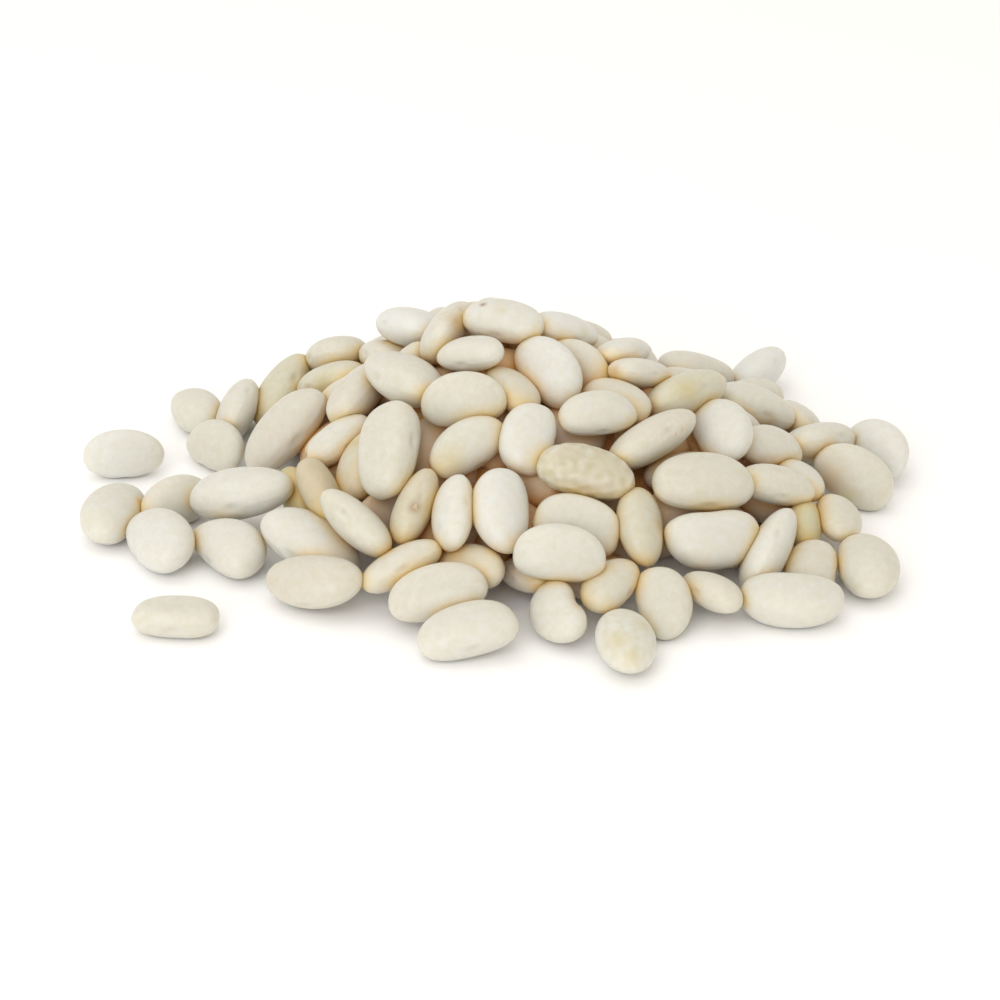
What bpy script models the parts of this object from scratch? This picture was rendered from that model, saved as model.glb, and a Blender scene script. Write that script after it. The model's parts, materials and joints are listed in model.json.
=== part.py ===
"""A loose heap of dried white beans on a flat surface, with two beans that lie apart from it.

The beans are kidney shaped, about 15 mm long. The heap is one solid: a low mound inside,
with every bean of its outer layer fused on at true size. Sizes are in millimetres, with X to
the right, Y away from the front and Z up, and the meshes are made in metres.
"""

import bmesh
import bpy
import numpy as np

MM = 0.001

# The heap's outer surface: its height, the height of one layer of beans, and how far from
# the middle it has come down to one layer, in twelve directions, clockwise from the right
HEAP_TOP = 33.5
ONE_LAYER = 6.5
CREST_ROUNDING = 0.14
FOOT_RADII = (63, 68, 61, 60, 56, 51, 46, 46, 46, 46, 48, 54)

# The mound inside the beans, under the heap's outer surface
CORE_UNDER = 5.0
CORE_SHARE = 0.88
CORE_RIM = 2.0
CORE_SPOKES = 24
CORE_RINGS = 4

# One bean: its breadth and thickness as shares of its length, and the bend of its long axis
BROAD_SHARE = 0.60
THICK_SHARE = 0.43
BEND_SHARE = 0.045
HALF_THICK = 3.3
SHORTEST, LONGEST = 12.5, 18.3
USUAL_LENGTH, LENGTH_SPREAD = 15.0, 1.3

# Few-sided beans: sides and rings, the growth that makes up for flat sides and lets beans
# that touch fuse, and the clearance under those at the heap's edge
BEAN_SIDES = 6
BEAN_RINGS = 4
FACET_GROWTH = 1.04
FUSE_EXTRA = 0.30
EDGE_CLEARANCE = 0.15
FLAT_SPOT = 0.45

# The place from which the listed beans are seen
VIEW_ELEVATION = np.radians(27.5)
EYE_DISTANCE = 407.0
LOOK_AT = np.array([0.0, -8.4, 0.0])
RIGHT = np.array([1.0, 0.0, 0.0])
AHEAD = np.array([0.0, np.cos(VIEW_ELEVATION), -np.sin(VIEW_ELEVATION)])
UP = np.array([0.0, np.sin(VIEW_ELEVATION), np.cos(VIEW_ELEVATION)])
EYE = LOOK_AT - EYE_DISTANCE * AHEAD
SIGHT_FROM, SIGHT_TO, SIGHT_STEP = 250.0, 540.0, 0.05
NEAR_PASS = 4.5
END_ON_SHARE = 0.25
MOST_FORESHORTENED = 0.9
BREADTH_LEEWAY = (0.88, 1.1)

# The beans that show from the front: how far right of and above the middle of the view,
# length and breadth as seen, slant of the long axis in degrees, and how far each is sunk
SEEN_BEANS = (
    (-67.2, -1.9, 11.7, 9.7, 55, 0),
    (-58.6, -7.8, 12.1, 10.7, -50, 0),
    (-46.9, -8.1, 12.8, 9.5, -35, 0),
    (-55.5, 0.0, 12.4, 8.6, 20, 0),
    (-43.8, 1.4, 17.9, 8.6, 6, -1),
    (-52.2, 15.5, 9.0, 7.9, -50, 0),
    (-49.0, 9.1, 10.0, 8.6, -30, 0),
    (-44.0, 14.7, 10.3, 6.2, 60, 0),
    (-38.8, 16.9, 15.5, 7.2, 58, 1),
    (-36.9, 12.1, 18.1, 8.6, 48, 0),
    (-27.6, 23.8, 9.3, 5.5, 5, 0),
    (-29.1, 20.5, 11.4, 6.6, 20, 0),
    (-24.5, 18.1, 12.1, 7.6, 60, 0),
    (-16.7, 21.0, 13.1, 8.6, -30, 0),
    (-19.3, 24.7, 10.3, 5.2, -15, 2),
    (-28.1, 11.4, 12.4, 6.6, 45, 1),
    (-25.0, 6.4, 12.9, 7.8, 75, 2),
    (-18.8, 8.6, 16.4, 10.2, 84, -1),
    (-30.7, 1.4, 12.1, 6.2, -65, 1),
    (-24.7, -3.8, 14.3, 6.9, -42, 0),
    (-34.5, 1.4, 11.2, 6.2, -65, 3),
    (-32.8, -6.2, 18.1, 10.0, -32, 0),
    (-32.1, -13.4, 16.7, 10.0, -3, 0),
    (-16.9, -10.9, 15.2, 6.6, 27, 0),
    (-10.7, -15.7, 17.6, 10.0, 12, 0),
    (-5.7, -22.1, 17.8, 9.0, 14, 0),
    (-5.2, -11.2, 12.1, 7.8, -10, 2),
    (-14.8, -0.9, 13.8, 6.6, 68, 0),
    (-8.1, -2.2, 12.9, 7.1, 87, 0),
    (0.3, -1.4, 14.7, 9.8, 92, -1),
    (-6.4, 17.6, 14.8, 9.5, 5, -1),
    (-4.8, 25.2, 11.4, 6.0, 2, 1),
    (-5.5, 9.5, 14.5, 8.6, 32, 1),
    (-15.2, 29.3, 11.0, 6.9, -8, 1),
    (-9.3, 29.3, 10.7, 6.6, 50, 0),
    (0.5, 30.9, 13.8, 7.2, -10, 0),
    (5.0, 11.0, 12.1, 10.3, 80, -1),
    (2.8, 19.3, 10.0, 6.6, -50, 3),
    (7.8, 22.6, 13.8, 9.7, -52, 0),
    (14.1, 23.8, 12.1, 8.3, -30, 2),
    (10.9, 29.1, 11.2, 6.2, -8, 0),
    (21.0, 25.3, 8.6, 5.2, 10, 0),
    (23.3, 21.9, 11.2, 5.2, -8, 0),
    (16.7, 15.2, 13.4, 7.6, 7, 0),
    (20.2, 17.6, 12.1, 6.6, -25, 1),
    (26.0, 10.7, 15.9, 7.2, 30, 0),
    (14.5, 5.0, 17.2, 8.6, -14, 0),
    (13.4, -4.1, 15.2, 10.0, -15, 1),
    (10.3, -9.0, 16.2, 9.8, -5, -1),
    (4.8, -11.6, 9.7, 6.6, -20, 2),
    (24.3, -4.1, 13.4, 7.9, 95, 0),
    (10.0, -19.1, 11.4, 9.7, -60, 0),
    (18.6, -14.5, 11.4, 7.8, 45, 0),
    (28.1, -16.4, 12.8, 9.7, -78, 0),
    (21.9, -25.0, 12.1, 10.3, 100, 0),
    (35.0, 3.4, 17.2, 9.7, 0, -1),
    (36.7, -6.6, 16.7, 10.0, 0, 0),
    (37.1, -15.2, 10.3, 6.2, -30, 0),
    (38.4, 11.9, 12.1, 10.0, -65, 0),
    (33.6, 22.1, 12.4, 5.9, -12, 0),
    (31.7, 18.3, 13.8, 7.9, 20, 0),
    (44.5, 21.2, 10.3, 6.6, 45, 0),
    (44.0, 16.4, 13.8, 6.9, -20, 0),
    (46.9, 8.8, 11.4, 7.2, -10, 0),
    (51.4, 13.8, 8.6, 6.2, -40, 0),
    (54.7, 10.3, 11.0, 6.9, 10, 0),
    (64.8, 8.4, 11.7, 9.7, -35, 0),
    (60.9, 4.1, 14.7, 9.7, -35, 0),
    (47.4, 2.4, 13.1, 6.6, -12, 0),
    (52.2, 3.4, 9.5, 6.2, -50, 1),
    (46.7, -7.8, 15.2, 6.6, 62, 0),
    (53.6, -3.1, 8.3, 6.2, 80, 1),
    (58.3, -2.8, 9.3, 7.2, -70, 0),
    (53.4, -11.6, 11.0, 9.7, 80, 0),
    (51.2, -18.1, 17.9, 9.3, -3, 0),
    (63.6, -11.2, 11.7, 10.3, -70, 0),
    (32.4, 5.2, 14.8, 7.6, 10, 3),
)
# Beans that show only in the gaps between those above
DEEP_BEANS = (
    (-19.8, -2.1, 12.0, 8.0, 30, 5),
    (-12.1, 9.5, 12.0, 8.0, 70, 5),
    (5.5, 2.6, 12.0, 8.0, -10, 5),
    (29.7, -1.6, 12.0, 8.0, 10, 5),
    (1.0, 23.3, 11.0, 7.0, 0, 4),
)
# Beans that lie on the table clear of the heap
BEANS_APART = {
    "bean_apart_front": (-55.9, -19.8, 14.8, 7.4, -2, 0),
    "bean_apart_left": (-64.8, 7.6, 13.8, 8.4, 3, 0),
}

# The beans that the view doesn't show, laid by a rule: how deep each layer lies, the tries
# made for it, and how much room a new bean needs (2.0 only just touches its neighbour).
# They reach past the foot behind the middle, and stay well inside it in front
SEED = 8
LAYERS = ((0.0, 9000), (6.5, 4000), (13.0, 3000))
ROOM_NEEDED = 1.25
FRONT_REACH, OUTER_REACH = -16.0, 4.0
WIDEST_REACH = 75.0
OUTER_LOWERINGS = (0.0, 1.5, 3.0)
LEAST_HEIGHT = 1.8
HIDDEN_SPAN = 0.9
LEAN_SPREAD, ROLL_SPREAD = 0.25, 0.5

# Settling: the beans are pushed off each other and the table, held near their places and
# let down a little each time. The listed ones give way less than the others, those on the
# table are drawn to neighbours that they nearly touch, and touching beans share a contact
STEPS = 300
CONTACT = 0.25
HOLD_SEEN, HOLD_HIDDEN = 0.16, 0.06
HOLD_LEFT = 0.25
EASE_SEEN = 0.4
SIGHT_FREEDOM = 0.85
HOLD_TURN = 1.5
FALL = 0.02
PUSH, TABLE_PUSH = 0.55, 0.8
SLIDE = 0.06
DRAW = 0.12
DRAW_WITHIN = 2.5
DRAW_BELOW = 6.0
MOST_MOVE, MOST_SPIN = 0.6, 0.08

BEAN_SKIN = (0.79, 0.74, 0.63, 1.0)
BEAN_ROUGHNESS = 0.42


def unit(vectors):
    return vectors / np.linalg.norm(vectors, axis=-1, keepdims=True)


def foot_radius(x, y):
    """How far the heap reaches in the direction of this point, smooth between the named ones."""
    radii = np.array(FOOT_RADII, float)
    turn = np.mod(-np.arctan2(y, x), 2 * np.pi) / (2 * np.pi) * len(radii)
    first = np.floor(turn).astype(int) % len(radii)
    part = turn - np.floor(turn)
    part = part * part * (3 - 2 * part)
    return radii[first] * (1 - part) + radii[(first + 1) % len(radii)] * part


def heap_top(x, y):
    """Height of the heap's outer surface: a cone with a rounded crest, down to one layer."""
    share = np.hypot(x, y) / foot_radius(x, y)
    k = CREST_ROUNDING
    fallen = (np.sqrt(share * share + k * k) - k) / (np.sqrt(1 + k * k) - k)
    return ONE_LAYER + (HEAP_TOP - ONE_LAYER) * np.clip(1 - fallen, 0, 1)


def heap_normal(x, y, step=1.5):
    slope_x = (heap_top(x + step, y) - heap_top(x - step, y)) / (2 * step)
    slope_y = (heap_top(x, y + step) - heap_top(x, y - step)) / (2 * step)
    return unit(np.array([-slope_x, -slope_y, 1.0]))


def place_seen(right, up, sunk):
    """The point where a line of sight meets the middle of the heap's outer layer.

    A line that only just clears the crest stops where it passes nearest to the layer.
    """
    sight = unit(AHEAD * EYE_DISTANCE + RIGHT * right + UP * up)
    along = np.arange(SIGHT_FROM, SIGHT_TO, SIGHT_STEP)
    points = EYE + along[:, None] * sight
    layer = heap_top(points[:, 0], points[:, 1]) - HALF_THICK - sunk
    clear = points[:, 2] - np.maximum(layer, HALF_THICK)
    meets = int(np.argmax(clear <= 0))
    middle = clear[1:-1]
    passes = np.flatnonzero((middle <= clear[:-2]) & (middle < clear[2:]) & (middle < NEAR_PASS))
    if len(passes) and passes[0] + 1 < meets:
        meets = int(passes[0]) + 1
    return points[meets]


def lie_seen(centre, seen_length, seen_breadth, slant):
    """Axes (long, broad, thick) and half sizes of a bean that looks like this on the slope."""
    nearness = ((centre - EYE) @ AHEAD) / EYE_DISTANCE
    seen_length, seen_breadth = seen_length * nearness, seen_breadth * nearness
    sight = unit(centre - EYE)
    level = unit(RIGHT - (RIGHT @ sight) * sight)
    across = np.cos(np.radians(slant)) * level + np.sin(np.radians(slant)) * np.cross(level, sight)
    slope = heap_normal(centre[0], centre[1])
    # The long axis lies in the slope, unless the length seen asks for another tilt
    tilt = np.arctan(-(across @ slope) / (sight @ slope))
    true_length = seen_length / np.sqrt(np.cos(tilt) ** 2 + END_ON_SHARE * np.sin(tilt) ** 2)
    length = float(np.clip(true_length, SHORTEST, LONGEST))
    if length != true_length:
        hidden = np.clip((1 - (seen_length / length) ** 2) / (1 - END_ON_SHARE), 0, MOST_FORESHORTENED)
        tilt = np.copysign(np.arcsin(np.sqrt(hidden)), tilt)
    long_axis = np.cos(tilt) * across + np.sin(tilt) * sight
    broad, thick = BROAD_SHARE * length, THICK_SHARE * length
    seen_breadth = np.clip(seen_breadth, BREADTH_LEEWAY[0] * thick, BREADTH_LEEWAY[1] * broad)
    broad, thick = max(broad, seen_breadth), min(thick, seen_breadth)
    # The roll shows as much breadth as is seen, on the side that the slope leans to
    side = unit(np.cross(long_axis, sight))
    face = np.cross(side, long_axis)
    face = -face if face @ sight > 0 else face
    flat = slope - (slope @ long_axis) * long_axis
    breadth_share = (seen_breadth**2 - thick**2) / (broad**2 - thick**2)
    roll = np.arccos(np.sqrt(np.clip(breadth_share, 0, 1))) * (1 if flat @ side >= 0 else -1)
    thin_axis = np.cos(roll) * face + np.sin(roll) * side
    axes = np.column_stack([long_axis, np.cross(thin_axis, long_axis), thin_axis])
    return axes, np.array([length, broad, thick]) / 2


def out_of_sight(centre, frame, half, centres, axes, halves):
    """Whether the beans already laid hide this one, its middle, ends and sides, from the viewer."""
    reach = HIDDEN_SPAN * (frame * half).T
    points = centre + np.concatenate([np.zeros((1, 3)), reach, -reach])
    sights = unit(EYE - points)
    start = np.einsum("nji,npj->npi", axes, points - centres[:, None]) / halves[:, None]
    way = np.einsum("nji,pj->npi", axes, sights) / halves[:, None]
    towards = (start * way).sum(2)
    square = (way**2).sum(2)
    crosses = (towards < 0) & (towards**2 > square * ((start**2).sum(2) - 1))
    return bool(crosses.any(0).all())


def spreads(axes, halves):
    """Each bean's ellipsoid as a matrix, which gives its reach in any direction."""
    return np.einsum("nij,nj,nkj->nik", axes, halves**2, axes)


def has_room(centre, frame, half, centres, axes, halves):
    both = spreads(axes, halves) + frame @ np.diag(half**2) @ frame.T
    away = centres - centre
    return (away * np.linalg.solve(both, away[:, :, None])[:, :, 0]).sum(1).min() >= ROOM_NEEDED


def lay_hidden(random, centres, axes, halves, depth, tries):
    """Adds the beans of one layer wherever those so far leave room."""
    for _ in range(tries):
        angle, radius = random.uniform(0, 2 * np.pi), np.sqrt(random.uniform()) * WIDEST_REACH
        x, y = radius * np.cos(angle), radius * np.sin(angle)
        length = float(np.clip(random.normal(USUAL_LENGTH, LENGTH_SPREAD), SHORTEST, LONGEST))
        heading, lean = random.uniform(0, np.pi), random.normal(0, LEAN_SPREAD)
        roll = random.normal(0, ROLL_SPREAD)
        reach = FRONT_REACH
        if y > 0:
            reach = OUTER_REACH if depth == 0 else 0.0
        if radius > foot_radius(x, y) + reach:
            continue
        z = float(heap_top(x, y)) - HALF_THICK - depth
        if z < LEAST_HEIGHT:
            continue
        slope = heap_normal(x, y)
        level = unit(np.cross(slope, [np.cos(heading), np.sin(heading), 0.0]))
        long_axis = unit(np.cos(lean) * level + np.sin(lean) * slope)
        side = unit(np.cross(slope, long_axis))
        thin_axis = np.cos(roll) * np.cross(long_axis, side) + np.sin(roll) * side
        frame = np.column_stack([long_axis, np.cross(thin_axis, long_axis), thin_axis])
        half = np.array([length, BROAD_SHARE * length, THICK_SHARE * length]) / 2
        laid = np.array(centres), np.array(axes), np.array(halves)
        for lowering in OUTER_LOWERINGS if depth == 0 else (0.0,):
            centre = np.array([x, y, max(z - lowering, HALF_THICK)])
            hidden = depth > 0 or out_of_sight(centre, frame, half, *laid)
            if hidden and has_room(centre, frame, half, *laid):
                centres.append(centre)
                axes.append(frame)
                halves.append(half)
                break


def turned(axes, spins):
    """The frames turned by small rotation vectors, kept square."""
    moved = axes + np.cross(spins[:, :, None], axes, axis=1)
    long_axis = unit(moved[:, :, 0])
    thin_axis = moved[:, :, 2]
    thin_axis = unit(thin_axis - (thin_axis * long_axis).sum(1, keepdims=True) * long_axis)
    return np.stack([long_axis, np.cross(thin_axis, long_axis), thin_axis], 2)


def closest_way(spread_a, spread_b, apart):
    """For pairs of beans: the direction of least overlap, both contact arms, and the overlap."""
    way = unit(np.linalg.solve(spread_a + spread_b, apart[:, :, None])[:, :, 0])
    for last in (False, False, False, True):
        arm_a = np.einsum("nij,nj->ni", spread_a, way)
        arm_b = np.einsum("nij,nj->ni", spread_b, way)
        reach_a = np.sqrt((arm_a * way).sum(1))
        reach_b = np.sqrt((arm_b * way).sum(1))
        arm_a, arm_b = arm_a / reach_a[:, None], -arm_b / reach_b[:, None]
        if not last:
            slide = apart - arm_a + arm_b
            slide -= (slide * way).sum(1, keepdims=True) * way
            way = unit(way + SLIDE * slide)
    return way, arm_a, arm_b, reach_a + reach_b - (apart * way).sum(1)


def lever(axes, inertia, arm, way):
    """How a push along `way` at the end of `arm` moves and turns a free bean."""
    local = np.einsum("nji,nj->ni", axes, np.cross(arm, way))
    return 1 + (local**2 / inertia).sum(1), np.einsum("nij,nj->ni", axes, local / inertia)


def settle(centres, axes, halves, seen):
    """The beans' places once they rest on each other. The last of the seen ones lie apart."""
    centres, home, home_axes = centres.copy(), centres, axes
    square = halves**2
    inertia = (square.sum(1, keepdims=True) - square) / 5
    sight = unit(centres - EYE)
    is_seen = np.arange(len(centres))[:, None] < seen
    alone = (np.arange(len(centres)) < seen) & (np.arange(len(centres)) >= seen - len(BEANS_APART))
    holds = np.where(is_seen, HOLD_SEEN, HOLD_HIDDEN)
    ease = np.where(is_seen[:, 0], EASE_SEEN, 1.0)
    first, second = np.triu_indices(len(centres), 1)
    up = np.array([0.0, 0.0, 1.0])
    for step in range(STEPS):
        hold = holds * (1 - (1 - HOLD_LEFT) * step / STEPS)
        apart = np.linalg.norm(centres[second] - centres[first], axis=1)
        near = apart < halves[first, 0] + halves[second, 0] + DRAW_WITHIN
        a, b = first[near], second[near]
        spread = spreads(axes, halves)
        way, arm_a, arm_b, over = closest_way(spread[a], spread[b], centres[b] - centres[a])
        over -= CONTACT
        weight_a, spin_a = lever(axes[a], inertia[a], arm_a, way)
        weight_b, spin_b = lever(axes[b], inertia[b], arm_b, way)
        yields = weight_a * ease[a] + weight_b * ease[b]
        push = np.where(over > 0, PUSH * over / yields, 0)
        nearly = (over < 0) & (over > -DRAW_WITHIN) & ~alone[a] & ~alone[b]
        low = (centres[a, 2] < DRAW_BELOW) & (centres[b, 2] < DRAW_BELOW)
        gentle = np.where(nearly & low, DRAW * over, 0)
        move, spin = np.zeros_like(centres), np.zeros_like(centres)
        np.add.at(move, a, -(push * ease[a] + gentle)[:, None] * way)
        np.add.at(move, b, (push * ease[b] + gentle)[:, None] * way)
        np.add.at(spin, a, -(push * ease[a])[:, None] * spin_a)
        np.add.at(spin, b, (push * ease[b])[:, None] * spin_b)
        # The table
        reach = np.sqrt(spread[:, 2, 2])
        arm = -spread[:, :, 2] / reach[:, None]
        weight, turn = lever(axes, inertia, arm, np.broadcast_to(up, arm.shape))
        push = TABLE_PUSH * np.clip(reach - centres[:, 2], 0, None) / weight
        move += push[:, None] * up
        spin += push[:, None] * turn
        # Each bean's place, which for a seen bean holds less along its line of sight
        back = home - centres
        along = (back * sight).sum(1, keepdims=True) * sight
        move += hold * np.where(is_seen, back - SIGHT_FREEDOM * along, back)
        for axis in (0, 2):
            spin += HOLD_TURN * hold * np.cross(axes[:, :, axis], home_axes[:, :, axis])
        move[:, 2] -= FALL
        move *= np.minimum(1, MOST_MOVE / np.maximum(np.linalg.norm(move, axis=1), 1e-9))[:, None]
        spin *= np.minimum(1, MOST_SPIN / np.maximum(np.linalg.norm(spin, axis=1), 1e-9))[:, None]
        centres = centres + move
        axes = turned(axes, spin)
    return np.round(centres, 2), np.round(axes, 4)


def lay_beans():
    """Places, axes and half sizes of all the beans, with how many are listed and how many lie
    in the outer layer or are listed. The order is seen, deep, apart, and then the hidden ones."""
    centres, axes, halves = [], [], []
    for right, up, length, breadth, slant, sunk in SEEN_BEANS + DEEP_BEANS + tuple(BEANS_APART.values()):
        centre = place_seen(right, up, sunk)
        frame, half = lie_seen(centre, length, breadth, slant)
        centres.append(centre)
        axes.append(frame)
        halves.append(half)
    seen = len(centres)
    random = np.random.default_rng(SEED)
    counts = []
    for depth, tries in LAYERS:
        lay_hidden(random, centres, axes, halves, depth, tries)
        counts.append(len(centres))
    halves = np.array(halves)
    centres, axes = settle(np.array(centres), np.array(axes), halves, seen)
    return centres, axes, halves, seen, counts[0]


def bean_points(centre, axes, half):
    """The tips and rings of one few-sided bean."""
    size = half * FACET_GROWTH + FUSE_EXTRA
    bend = BEND_SHARE * 2 * half[0]
    angles = np.arange(BEAN_SIDES) * 2 * np.pi / BEAN_SIDES
    points = [[-1.0, 0.0, 0.0]]
    for ring in range(1, BEAN_RINGS + 1):
        along = -np.cos(np.pi * ring / (BEAN_RINGS + 1))
        around = np.sqrt(1 - along * along)
        points += [[along, around * np.cos(a), around * np.sin(a)] for a in angles]
    points.append([1.0, 0.0, 0.0])
    points = np.array(points) * size
    points[:, 1] += bend * (1 / 3 - (points[:, 0] / size[0]) ** 2)
    return centre + points @ axes.T


def bean_faces():
    """Triangles over the tips and rings, pointing out."""
    faces = []
    last = BEAN_SIDES * BEAN_RINGS + 1
    for side in range(BEAN_SIDES):
        beside = (side + 1) % BEAN_SIDES
        faces.append((0, 1 + beside, 1 + side))
        for ring in range(BEAN_RINGS - 1):
            low, high = 1 + ring * BEAN_SIDES, 1 + (ring + 1) * BEAN_SIDES
            faces.append((low + side, low + beside, high + beside))
            faces.append((low + side, high + beside, high + side))
        top = 1 + (BEAN_RINGS - 1) * BEAN_SIDES
        faces.append((last, top + side, top + beside))
    return faces


def core_mesh():
    """The mound inside: a fan of rings under the heap's outer surface, on a flat base."""
    points = [(0.0, 0.0, float(heap_top(0.0, 0.0)) - CORE_UNDER)]
    for ring in range(1, CORE_RINGS + 1):
        for spoke in range(CORE_SPOKES):
            angle = 2 * np.pi * spoke / CORE_SPOKES
            x, y = np.cos(angle), np.sin(angle)
            radius = CORE_SHARE * foot_radius(x, y) * ring / CORE_RINGS
            x, y = radius * x, radius * y
            points.append((x, y, float(heap_top(x, y)) - CORE_UNDER))
    for spoke in range(CORE_SPOKES):
        angle = 2 * np.pi * spoke / CORE_SPOKES
        radius = CORE_SHARE * foot_radius(np.cos(angle), np.sin(angle)) + CORE_RIM
        points.append((radius * np.cos(angle), radius * np.sin(angle), 0.0))
    faces = [tuple(1 + CORE_SPOKES * CORE_RINGS + s for s in reversed(range(CORE_SPOKES)))]
    for spoke in range(CORE_SPOKES):
        beside = (spoke + 1) % CORE_SPOKES
        faces.append((0, 1 + spoke, 1 + beside))
        for ring in range(CORE_RINGS):
            low, high = 1 + ring * CORE_SPOKES, 1 + (ring + 1) * CORE_SPOKES
            faces.append((low + spoke, high + spoke, high + beside))
            faces.append((low + spoke, high + beside, low + beside))
    return points, faces


def add_object(name, points, faces, collection):
    mesh = bpy.data.meshes.new(name)
    mesh.from_pydata([tuple(float(c) * MM for c in point) for point in points], [], faces)
    made = bpy.data.objects.new(name, mesh)
    collection.objects.link(made)
    return made


def outward(made):
    """Turns the faces of a closed mesh outwards."""
    mesh = bmesh.new()
    mesh.from_mesh(made.data)
    bmesh.ops.recalc_face_normals(mesh, faces=mesh.faces)
    mesh.to_mesh(made.data)
    mesh.free()


def largest_body(made):
    """Keeps the mesh's largest closed body, so sealed hollows are filled and scraps dropped."""
    mesh = bmesh.new()
    mesh.from_mesh(made.data)
    left = set(mesh.faces)
    bodies = []
    while left:
        body, front = [], [left.pop()]
        while front:
            face = front.pop()
            body.append(face)
            for edge in face.edges:
                for other in edge.link_faces:
                    if other in left:
                        left.remove(other)
                        front.append(other)
        bodies.append(body)
    bodies.sort(key=len)
    for body in bodies[:-1]:
        bmesh.ops.delete(mesh, geom=body, context="FACES")
    bmesh.ops.triangulate(mesh, faces=mesh.faces)
    mesh.to_mesh(made.data)
    mesh.free()


def bean_material(name):
    """Dry bean skin: cream, with a soft sheen."""
    made = bpy.data.materials.new(name)
    made.use_nodes = True
    made.diffuse_color = BEAN_SKIN
    shader = made.node_tree.nodes["Principled BSDF"]
    shader.inputs["Base Color"].default_value = BEAN_SKIN
    shader.inputs["Roughness"].default_value = BEAN_ROUGHNESS
    shader.inputs["Metallic"].default_value = 0.0
    return made


def heap_object(centres, axes, halves, members):
    """The mound and the beans on it, joined into one solid."""
    scene = bpy.context.scene.collection
    heap = add_object("bean_heap", *core_mesh(), scene)
    outward(heap)
    beans = bpy.data.collections.new("fused_beans")
    scene.children.link(beans)
    for member in members:
        points = bean_points(centres[member], axes[member], halves[member])
        points[:, 2] += max(0.0, EDGE_CLEARANCE - points[:, 2].min())
        outward(add_object(f"fused_bean_{member}", points, bean_faces(), beans))
    union = heap.modifiers.new("union", "BOOLEAN")
    union.operation = "UNION"
    union.operand_type = "COLLECTION"
    union.collection = beans
    union.solver = "EXACT"
    bpy.context.view_layer.update()
    graph = bpy.context.evaluated_depsgraph_get()
    joined = bpy.data.meshes.new_from_object(heap.evaluated_get(graph))
    heap.modifiers.clear()
    heap.data = joined
    for bean in list(beans.objects):
        bpy.data.objects.remove(bean)
    bpy.data.collections.remove(beans)
    largest_body(heap)
    return heap


def apart_object(name, centre, axes, half):
    """A bean that lies apart, on a small flat spot."""
    points = bean_points(centre, axes, half)
    points[:, 2] -= points[:, 2].min()
    points[:, 2] = np.where(points[:, 2] < FLAT_SPOT, 0.0, points[:, 2])
    bean = add_object(name, points, bean_faces(), bpy.context.scene.collection)
    outward(bean)
    return bean


def centre_on_origin(made):
    """Moves the meshes so that the whole stands on the origin, in the middle of its outline."""
    points = np.concatenate([np.array([v.co for v in m.data.vertices]) for m in made])
    middle = (points.min(0) + points.max(0)) / 2
    for m in made:
        for vertex in m.data.vertices:
            vertex.co.x -= middle[0]
            vertex.co.y -= middle[1]


def main():
    for old in list(bpy.data.objects):
        bpy.data.objects.remove(old, do_unlink=True)
    centres, axes, halves, seen, outer = lay_beans()
    fused = list(range(len(SEEN_BEANS))) + list(range(seen, outer))
    made = [heap_object(centres, axes, halves, fused)]
    for bean, name in enumerate(BEANS_APART, seen - len(BEANS_APART)):
        made.append(apart_object(name, centres[bean], axes[bean], halves[bean]))
    centre_on_origin(made)
    for m in made:
        m.data.materials.clear()
        m.data.materials.append(bean_material(f"{m.name}_skin"))
        m.data.shade_smooth()


main()
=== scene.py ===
"""A loose heap of dried white kidney beans on a white surface, with two beans just clear of it.

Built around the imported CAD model. Lengths are in millimetres, and the meshes are made in metres.
"""

import json

import bpy
import numpy as np
from mathutils import Matrix, Vector

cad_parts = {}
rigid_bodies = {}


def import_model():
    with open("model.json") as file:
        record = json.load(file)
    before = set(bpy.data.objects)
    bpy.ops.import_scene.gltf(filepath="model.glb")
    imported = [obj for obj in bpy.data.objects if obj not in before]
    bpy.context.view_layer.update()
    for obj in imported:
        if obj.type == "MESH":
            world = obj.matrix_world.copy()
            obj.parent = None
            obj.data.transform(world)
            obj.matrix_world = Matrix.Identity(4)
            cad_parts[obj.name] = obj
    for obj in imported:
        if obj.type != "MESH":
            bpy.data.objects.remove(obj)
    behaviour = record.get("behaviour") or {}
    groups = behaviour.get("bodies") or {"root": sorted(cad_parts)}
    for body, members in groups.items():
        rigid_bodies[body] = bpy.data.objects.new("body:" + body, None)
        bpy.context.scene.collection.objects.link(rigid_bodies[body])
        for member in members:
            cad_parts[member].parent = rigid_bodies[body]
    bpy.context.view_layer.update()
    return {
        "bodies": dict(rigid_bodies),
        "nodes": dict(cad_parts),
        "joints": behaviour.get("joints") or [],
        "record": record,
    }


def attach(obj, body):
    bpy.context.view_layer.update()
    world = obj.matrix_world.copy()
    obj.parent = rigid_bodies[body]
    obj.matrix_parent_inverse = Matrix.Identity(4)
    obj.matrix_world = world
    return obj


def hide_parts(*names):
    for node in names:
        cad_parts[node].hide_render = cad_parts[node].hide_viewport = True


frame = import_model()
MM = 0.001


# The buried beans: dried kidney beans, poured first and covered by the rest. Each is a hard
# seed in a smooth coat, bent towards its scar, and they lie as they came to rest on each other.

# The heap's outer surface: its height, the height of one layer of beans, and how far from
# the middle it has come down to one layer, in twelve directions, clockwise from the right
HEAP_TOP = 33.5
ONE_LAYER = 6.5
CREST_ROUNDING = 0.14
FOOT_RADII = (63, 68, 61, 60, 56, 51, 46, 46, 46, 46, 48, 54)

# One bean: its breadth and thickness as shares of its length, and the bend of its long axis
BROAD_SHARE = 0.60
THICK_SHARE = 0.43
BEND_SHARE = 0.045
HALF_THICK = 3.3
SHORTEST, LONGEST = 12.5, 18.3
USUAL_LENGTH, LENGTH_SPREAD = 15.0, 1.3

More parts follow.
